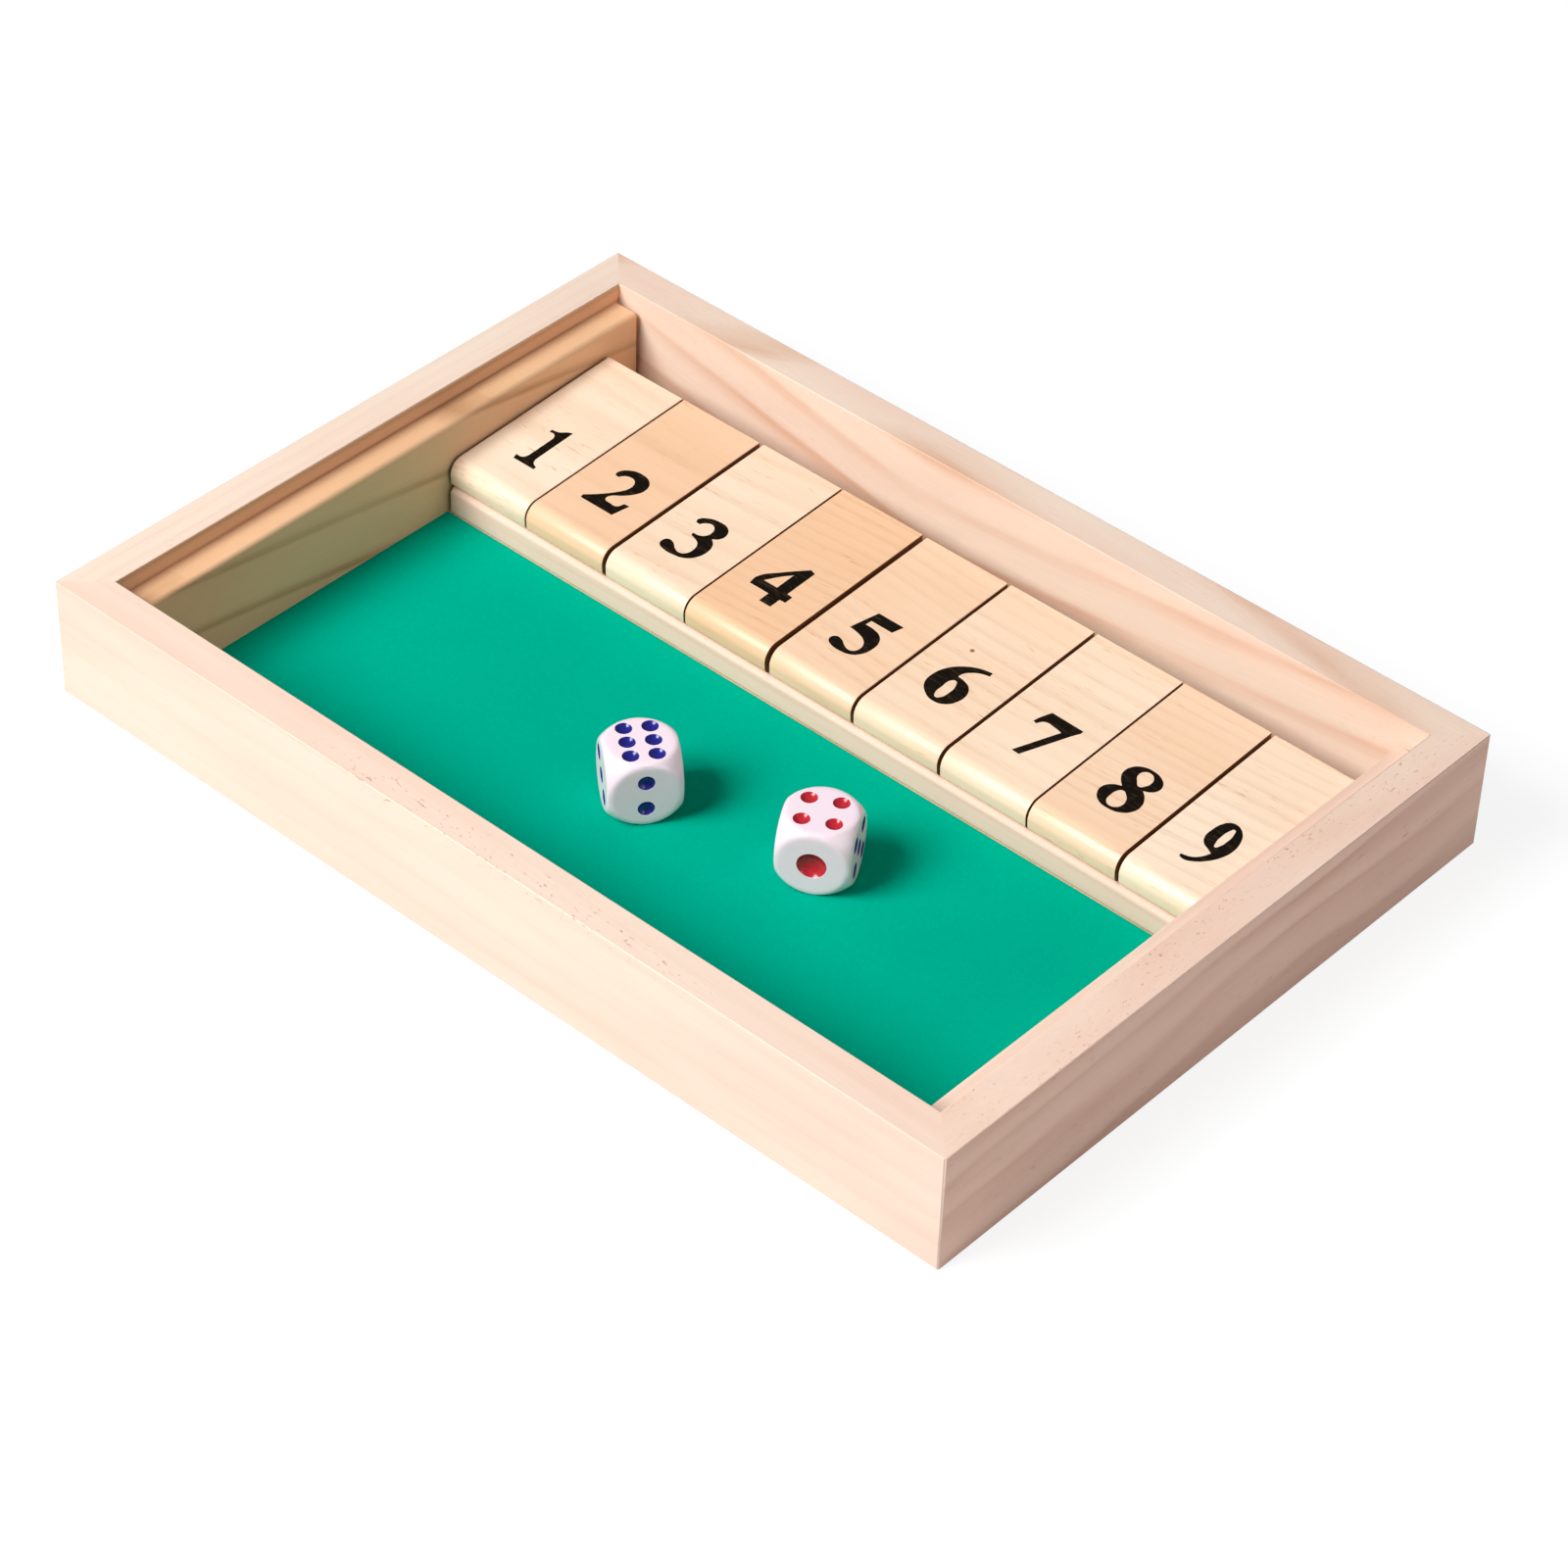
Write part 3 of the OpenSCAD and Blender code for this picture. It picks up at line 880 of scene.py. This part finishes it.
# The middle of each numeral's foot in the same measure: the print wanders from tile to tile
NUMERAL_FEET = {
    1: (11.85, 24.6), 2: (11.25, 24.7), 3: (10.4, 24.0), 4: (10.55, 25.1), 5: (10.8, 24.4),
    6: (10.85, 25.5), 7: (12.15, 24.6), 8: (11.85, 24.5), 9: (11.25, 23.2),
}
# Where a foot stands that the print didn't shift: on the tile's centre line, at the print base
TRUE_FOOT = (11.25, 24.6)
# Measured from its foot, a numeral's points keep this many decimals of a millimetre
FOOT_DECIMALS = 1


def tile_top(number):
    """The frame of a tile's flat top: the middle of its front edge, X right, Y up the tile."""
    bm = cad_copy(f"tile_{number}")
    top = max((f for f in bm.faces if f.normal.z > FACING), key=lambda f: f.calc_area())
    up = top.normal.cross(X_AXIS)
    low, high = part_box(f"tile_{number}")
    front = min((v.co for v in top.verts), key=lambda co: co.y)
    origin = Vector(((low.x + high.x) / 2, front.y, front.z))
    axes = Matrix((X_AXIS, up, top.normal)).transposed().to_4x4()
    bm.free()
    return Matrix.Translation(origin) @ axes


def numeral_film(number, thickness):
    """A numeral as a thin film of ink, flat on its own plane with its foot at the origin."""
    curve = bpy.data.curves.new(f"numeral_{number}", "CURVE")
    curve.dimensions = "2D"
    curve.fill_mode = "BOTH"
    curve.resolution_u = CURVE_STEPS
    curve.extrude = thickness / MM / 2
    foot_x, foot_y = NUMERAL_FEET[number]
    for outline in NUMERALS[number]:
        spline = curve.splines.new("BEZIER")
        spline.bezier_points.add(len(outline) - 1)
        spline.use_cyclic_u = True
        for knot, (x, y, *mark) in zip(spline.bezier_points, outline):
            knot.co = (round(x - foot_x, FOOT_DECIMALS), round(y - foot_y, FOOT_DECIMALS), 0)
            knot.handle_left_type = "VECTOR" if mark else "AUTO"
            knot.handle_right_type = knot.handle_left_type
    drawing = bpy.data.objects.new(f"numeral_{number}_drawing", curve)
    bpy.context.scene.collection.objects.link(drawing)
    bpy.context.view_layer.update()
    mesh = bpy.data.meshes.new_from_object(
        drawing.evaluated_get(bpy.context.evaluated_depsgraph_get()))
    bm = bmesh.new()
    bm.from_mesh(mesh)
    bpy.data.objects.remove(drawing)
    bpy.data.curves.remove(curve)
    bpy.data.meshes.remove(mesh)
    # The film is still in millimetres here, so this welds points a micrometre apart
    bmesh.ops.remove_doubles(bm, verts=bm.verts, dist=0.001)
    bmesh.ops.recalc_face_normals(bm, faces=bm.faces)
    return bm


def tile_timber(number):
    """A tile's timber: each was sawn from another part of the tree, at another slant."""
    return Timber(pith=(0, 31 * number, 30 + 17 * (number % 4)),
                  slant=(0, 2 - number % 3, 4 - 2 * (number % 5)),
                  ring=3 + 0.5 * (number % 4), sway=1.5, contrast=0.4,
                  pinkness=(0, 0.6), flecks=0.7, dash=(6, 0.5))


def pin_knot_place(number):
    """Where the pin knot lies on a tile's flat top."""
    low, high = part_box(f"tile_{number}")
    right, up = KNOT_AT
    return tile_top(number) @ Vector((right * MM - (high.x - low.x) / 2, up * MM, 0))


class SHUTBOX_OT_tiles(bpy.types.Operator):
    """Make the nine number tiles"""

    bl_idname = "shutbox.tiles"
    bl_label = "Number tiles"

    def execute(self, context):
        tiles = context.scene.shut_box.tiles
        end_grain_and_seam_shade = pine("Lacquered pine, end grain and painted seam shade", END_GRAIN_AND_SEAM_SHADE, tiles.end, tiles.end_dark_and_seam_shade,
                         tiles.end, tiles.end_dark_and_seam_shade, roughness=0.6)
        for number, warmth in enumerate(WARMTH, start=1):
            node = f"tile_{number}"
            bm = cad_copy(node)
            shade_rounds(bm)
            # The sides take the end grain tone, which also paints the shade in the seams
            for face in bm.faces:
                face.material_index = int(abs(face.normal.x) > FACING)
            ease_edges(bm, tiles.edge)
            tone = mixed(tiles.pale, tiles.warm, warmth)
            knot = None
            if number == KNOT_TILE:
                knot = (pin_knot_place(number), KNOT_RADIUS * MM, tiles.knot)
            finish = pine(f"Satin lacquered pine, tile {number}", tile_timber(number), tone,
                          mixed(tone, tiles.line, 0.6), mixed(tone, tiles.warm, 0.4),
                          tiles.line, roughness=0.42, coat=0.25, knot=knot)
            finish_piece(
                bm, f"number_tile_{number}", node, "tile_pine", [finish, end_grain_and_seam_shade], node)
        return {"FINISHED"}


class SHUTBOX_OT_numerals(bpy.types.Operator):
    """Print the numerals on the tiles"""

    bl_idname = "shutbox.numerals"
    bl_label = "Numerals"

    def execute(self, context):
        tiles = context.scene.shut_box.tiles
        ink = screen_ink("Screen ink, black", tiles.ink, tiles.ink_worn)
        for number, foot_place in NUMERAL_FEET.items():
            bm = numeral_film(number, tiles.ink_film)
            right, up = [(a - b) * MM for a, b in zip(foot_place, TRUE_FOOT)]
            foot = Vector((right, tiles.print_base + up, tiles.ink_film / 2))
            bm.transform(tile_top(number) @ Matrix.Translation(foot) @ Matrix.Scale(MM, 4))
            finish_piece(bm, f"numeral_{number}", f"tile_{number}", "digit_ink", [ink])
        return {"FINISHED"}


# ---- The dice ----

# Turns that carry the top face to the top, bottom, front, back, left and right
FACE_TURNS = [
    Matrix.Identity(4),
    Matrix.Rotation(math.pi, 4, "X"),
    Matrix.Rotation(math.pi / 2, 4, "X"),
    Matrix.Rotation(-math.pi / 2, 4, "X"),
    Matrix.Rotation(-math.pi / 2, 4, "Y"),
    Matrix.Rotation(math.pi / 2, 4, "Y"),
]
# The numbers on those faces of each die
DIE_FACES = {"left": [6, 1, 2, 5, 3, 4], "right": [4, 3, 1, 6, 2, 5]}
RED_NUMBERS = (1, 4)
# How far a pip's cutter stands out of the face
CUT_PAST = 0.2 * MM


def pip_places(number, dice):
    """Where a number's pips lie on a face, from its centre."""
    out = dice.pip_out
    corners = [(x, y) for x in (-out, out) for y in (-out, out)]
    return {
        1: [(0, 0)],
        2: [(0, out), (0, -out)],
        3: [(out, out), (0, 0), (-out, -out)],
        4: corners,
        5: [(0, 0), *corners],
        6: [(x, y) for x in (-dice.six_out, dice.six_out) for y in (-dice.six_up, 0, dice.six_up)],
    }[number]


def die_frame(side):
    """A die's centre and turn, read from the way its CAD node stands."""
    node = f"die_{side}"
    low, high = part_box(node)
    bm = cad_copy(node)
    fronts = [f for f in bm.faces if is_upright(f) and f.normal.y < 0 < f.normal.x]
    front = max(fronts, key=lambda f: f.calc_area())
    turn = math.atan2(front.normal.x, -front.normal.y)
    bm.free()
    return Matrix.Translation((low + high) / 2) @ Matrix.Rotation(turn, 4, "Z")


def dish_balls(side, width, dice):
    """Each pip's ball in the die's own frame: (number, face turn, centre, radius)."""
    balls = []
    for number, turn in zip(DIE_FACES[side], FACE_TURNS):
        span, depth = (dice.ace, dice.ace_depth) if number == 1 else (dice.pip, dice.pip_depth)
        radius = (span * span / 4 + depth * depth) / (2 * depth)
        for x, y in pip_places(number, dice):
            centre = Vector((x, y, width / 2 + radius - depth))
            balls.append((number, turn, centre, radius))
    return balls


def rounded_cube(width, dice):
    """A cube whose edges and corners are rounded by a ball, with softened rims."""
    bm = bmesh.new()
    bmesh.ops.create_cube(bm, size=width)
    bmesh.ops.subdivide_edges(bm, edges=bm.edges, cuts=dice.cuts, use_grid_fill=True)
    exponent = dice.blend
    for vert in bm.verts:
        # Equal angles across a face keep the quads even on the ball
        spread = Vector([math.tan(c / width * math.pi / 2) for c in vert.co])
        ray = spread.normalized()
        flat = width / 2 / max(abs(c) for c in ray)
        ball = dice.ball / 2
        vert.co = ray * (flat ** -exponent + ball ** -exponent) ** (-1 / exponent)
    return bm


def ball_cap(centre, radius, top):
    """The part of a fine ball that lies below a level, open at that level."""
    bm = bmesh.new()
    bmesh.ops.create_uvsphere(
        bm, u_segments=ROUND_FACETS, v_segments=2 * ROUND_FACETS, radius=radius)
    bm.transform(Matrix.Translation(centre))
    bmesh.ops.bisect_plane(
        bm, geom=everything(bm), plane_co=Vector((0, 0, top)), plane_no=Z_AXIS,
        clear_outer=True)
    return bm


def pip_cutter(centre, radius, turn, width):
    """The solid that dishes one pip, ending just above the face."""
    bm = ball_cap(centre, radius, width / 2 + CUT_PAST)
    bmesh.ops.holes_fill(bm, edges=[e for e in bm.edges if e.is_boundary])
    bm.transform(turn)
    return bm


def pip_film(centre, radius, turn, width, thickness):
    """The paint that lines one pip: a shallow bowl just inside the dish."""
    bm = ball_cap(centre, radius - thickness, width / 2 - thickness)
    bmesh.ops.reverse_faces(bm, faces=bm.faces)
    # The film is a little thinner than its gap, so that it stays clear of the dish
    bmesh.ops.solidify(bm, geom=bm.faces[:], thickness=thickness * 0.8)
    bmesh.ops.recalc_face_normals(bm, faces=bm.faces)
    for face in bm.faces:
        face.smooth = True
    bm.transform(turn)
    return bm


def add_mesh(target, source):
    """Moves one bmesh's geometry into another."""
    mesh = bpy.data.meshes.new("carried")
    source.to_mesh(mesh)
    source.free()
    target.from_mesh(mesh)
    bpy.data.meshes.remove(mesh)


def carve(bm, cutter):
    """Cuts one closed mesh out of another."""
    objects = []
    for part in (bm, cutter):
        mesh = bpy.data.meshes.new("carving")
        part.to_mesh(mesh)
        part.free()
        objects.append(bpy.data.objects.new("carving", mesh))
        bpy.context.scene.collection.objects.link(objects[-1])
    block, tool = objects
    cut = block.modifiers.new("Cut", "BOOLEAN")
    cut.operation = "DIFFERENCE"
    cut.solver = "EXACT"
    cut.object = tool
    bpy.context.view_layer.update()
    result = bpy.data.meshes.new_from_object(
        block.evaluated_get(bpy.context.evaluated_depsgraph_get()))
    carved = bmesh.new()
    carved.from_mesh(result)
    for holder in objects:
        bpy.data.meshes.remove(holder.data)
    bpy.data.meshes.remove(result)
    return carved


class SHUTBOX_OT_dice(bpy.types.Operator):
    """Make the two dice, their pips cut and painted"""

    bl_idname = "shutbox.dice"
    bl_label = "Dice"

    def execute(self, context):
        dice = context.scene.shut_box.dice
        resin = moulded_resin("Moulded urea resin, white", dice.white)
        paints = {"red": pip_enamel("Enamel, red", dice.red),
                  "blue": pip_enamel("Enamel, blue", dice.blue)}
        for side in DIE_FACES:
            low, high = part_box(f"die_{side}")
            width = high.z - low.z
            stand = die_frame(side)
            balls = dish_balls(side, width, dice)
            cutter = bmesh.new()
            for number, turn, centre, radius in balls:
                add_mesh(cutter, pip_cutter(centre, radius, turn, width))
            bm = carve(rounded_cube(width, dice), cutter)
            for face in bm.faces:
                face.smooth = True
            for edge in bm.edges:
                edge.smooth = not edge.is_manifold or edge.calc_face_angle() < ROUND
            bm.transform(stand)
            finish_piece(
                bm, f"{side}_die", f"die_{side}", "die_plastic", [resin], f"die_{side}")
            for paint, material in paints.items():
                film = bmesh.new()
                for number, turn, centre, radius in balls:
                    if (paint == "red") == (number in RED_NUMBERS):
                        add_mesh(film, pip_film(centre, radius, turn, width, dice.paint_film))
                film.transform(stand)
                finish_piece(film, f"{side}_die_{paint}_pips", f"die_{side}",
                             f"pip_{paint}", [material])
        return {"FINISHED"}


# ---- The stage ----

# Where the two soft boxes stand and how wide they are, in metres
KEY_PLACE = (-0.5, -1.13, 1.2)
KEY_WIDTH = 0.9
FILL_PLACE = (1.3, 0.1, 0.5)
FILL_WIDTH = 0.8

# Half the floor's width in metres, and how far it lies below the tray so that they don't touch
FLOOR_HALF = 3
FLOOR_DROP = 0.05 * MM
# The share of its colour that the floor sends back to the tray
FLOOR_BOUNCE = 0.62
# To the camera the floor glows nearly white, and this share of its colour shows the shadows
FLOOR_GLOW = 0.85
FLOOR_SHADE = 0.2

# Width of the camera's sensor in millimetres
SENSOR_WIDTH = 36


def background_floor(name, floor):
    """A white floor that looks white to the camera and keeps the shadows."""
    material, tree, surface = new_material(name)
    path = add_node(tree, "ShaderNodeLightPath")
    seen = add_node(tree, "ShaderNodeMath", {
        0: path.outputs["Is Camera Ray"], 1: path.outputs["Is Glossy Ray"]}, operation="MAXIMUM")
    plain = add_node(tree, "ShaderNodeBsdfDiffuse", {
        "Color": rgba([c * FLOOR_BOUNCE for c in floor])})
    shown = add_node(tree, "ShaderNodeBsdfDiffuse", {
        "Color": rgba([c * FLOOR_SHADE for c in floor])})
    glow = add_node(tree, "ShaderNodeEmission", {"Color": rgba(WHITE), "Strength": FLOOR_GLOW})
    lit = add_node(tree, "ShaderNodeAddShader", {
        0: shown.outputs["BSDF"], 1: glow.outputs["Emission"]})
    mix = add_node(tree, "ShaderNodeMixShader", {
        0: seen.outputs["Value"], 1: plain.outputs["BSDF"], 2: lit.outputs["Shader"]})
    tree.links.new(mix.outputs["Shader"], surface)
    return material


def soft_box(name, place, width, watts):
    """A square area light, aimed at the tray."""
    light = bpy.data.lights.new(name, "AREA")
    light.shape = "SQUARE"
    light.size = width
    light.energy = watts
    lamp = bpy.data.objects.new(name, light)
    lamp.location = place
    lamp.rotation_euler = (-Vector(place)).to_track_quat("-Z", "Y").to_euler()
    bpy.context.scene.collection.objects.link(lamp)


def place_camera(stage):
    """Sets the camera by its azimuth, elevation, roll and distance from the aim."""
    camera = bpy.data.cameras.new("camera")
    camera.lens = stage.lens
    camera.sensor_width = SENSOR_WIDTH
    eye = bpy.data.objects.new("camera", camera)
    turn = (Matrix.Rotation(stage.azimuth, 4, "Z")
            @ Matrix.Rotation(math.pi / 2 - stage.elevation, 4, "X")
            @ Matrix.Rotation(stage.roll, 4, "Z"))
    aim = Vector((stage.aim_x, stage.aim_y, 0))
    eye.matrix_world = Matrix.Translation(aim) @ turn @ Matrix.Translation((0, 0, stage.distance))
    bpy.context.scene.collection.objects.link(eye)
    bpy.context.scene.camera = eye


def light_world(strength):
    """A plain white sky of that strength, seen as white by the camera and through glass."""
    world = bpy.data.worlds.new("sky")
    world.use_nodes = True
    tree = world.node_tree
    tree.nodes.clear()
    path = add_node(tree, "ShaderNodeLightPath")
    seen = add_node(tree, "ShaderNodeMath", {
        0: path.outputs["Is Camera Ray"], 1: path.outputs["Is Transmission Ray"]},
        operation="MAXIMUM")
    level = add_node(tree, "ShaderNodeMapRange", {
        "Value": seen.outputs["Value"], "To Min": strength, "To Max": 1})
    sky = add_node(tree, "ShaderNodeBackground", {
        "Color": rgba(WHITE), "Strength": level.outputs["Result"]})
    add_node(tree, "ShaderNodeOutputWorld", {"Surface": sky.outputs["Background"]})
    bpy.context.scene.world = world


class SHUTBOX_OT_stage(bpy.types.Operator):
    """Set the floor, the lights and the camera"""

    bl_idname = "shutbox.stage"
    bl_label = "Stage"

    def execute(self, context):
        stage = context.scene.shut_box.stage
        bm = bmesh.new()
        bmesh.ops.create_grid(bm, x_segments=1, y_segments=1, size=FLOOR_HALF)
        bmesh.ops.translate(bm, verts=bm.verts, vec=(0, 0, -FLOOR_DROP))
        mesh = bpy.data.meshes.new("floor")
        bm.to_mesh(mesh)
        bm.free()
        mesh.materials.append(background_floor("Paper floor", stage.floor))
        floor = bpy.data.objects.new("floor", mesh)
        context.scene.collection.objects.link(floor)
        soft_box("key", KEY_PLACE, KEY_WIDTH, stage.key)
        soft_box("side_fill", FILL_PLACE, FILL_WIDTH, stage.fill)
        light_world(stage.sky)
        place_camera(stage)
        context.scene.view_settings.view_transform = "Standard"
        return {"FINISHED"}


# ---- The add-on ----

OPERATORS = (
    SHUTBOX_OT_frame_boards,
    SHUTBOX_OT_base_panel,
    SHUTBOX_OT_cheeks,
    SHUTBOX_OT_tile_rail,
    SHUTBOX_OT_tile_rod,
    SHUTBOX_OT_baize,
    SHUTBOX_OT_tiles,
    SHUTBOX_OT_numerals,
    SHUTBOX_OT_dice,
    SHUTBOX_OT_stage,
)


class SHUTBOX_PT_build(bpy.types.Panel):
    """Lists the steps that build the game"""

    bl_idname = "SHUTBOX_PT_build"
    bl_label = "Shut the Box"
    bl_space_type = "VIEW_3D"
    bl_region_type = "UI"
    bl_category = "Shut the Box"

    def draw(self, context):
        for operator in OPERATORS:
            self.layout.operator(operator.bl_idname)


CLASSES = (
    WoodSettings,
    TileSettings,
    BaizeSettings,
    DiceSettings,
    StageSettings,
    ShutBoxSettings,
    *OPERATORS,
    SHUTBOX_PT_build,
)


def register():
    for cls in CLASSES:
        bpy.utils.register_class(cls)
    bpy.types.Scene.shut_box = PointerProperty(type=ShutBoxSettings)


def unregister():
    del bpy.types.Scene.shut_box
    for cls in reversed(CLASSES):
        bpy.utils.unregister_class(cls)


def main():
    """Builds the game piece by piece."""
    register()
    bpy.ops.shutbox.stage()
    bpy.ops.shutbox.frame_boards()
    bpy.ops.shutbox.base_panel()
    bpy.ops.shutbox.cheeks()
    bpy.ops.shutbox.tile_rail()
    bpy.ops.shutbox.tile_rod()
    bpy.ops.shutbox.baize()
    bpy.ops.shutbox.tiles()
    bpy.ops.shutbox.numerals()
    bpy.ops.shutbox.dice()


if __name__ == "__main__":
    main()
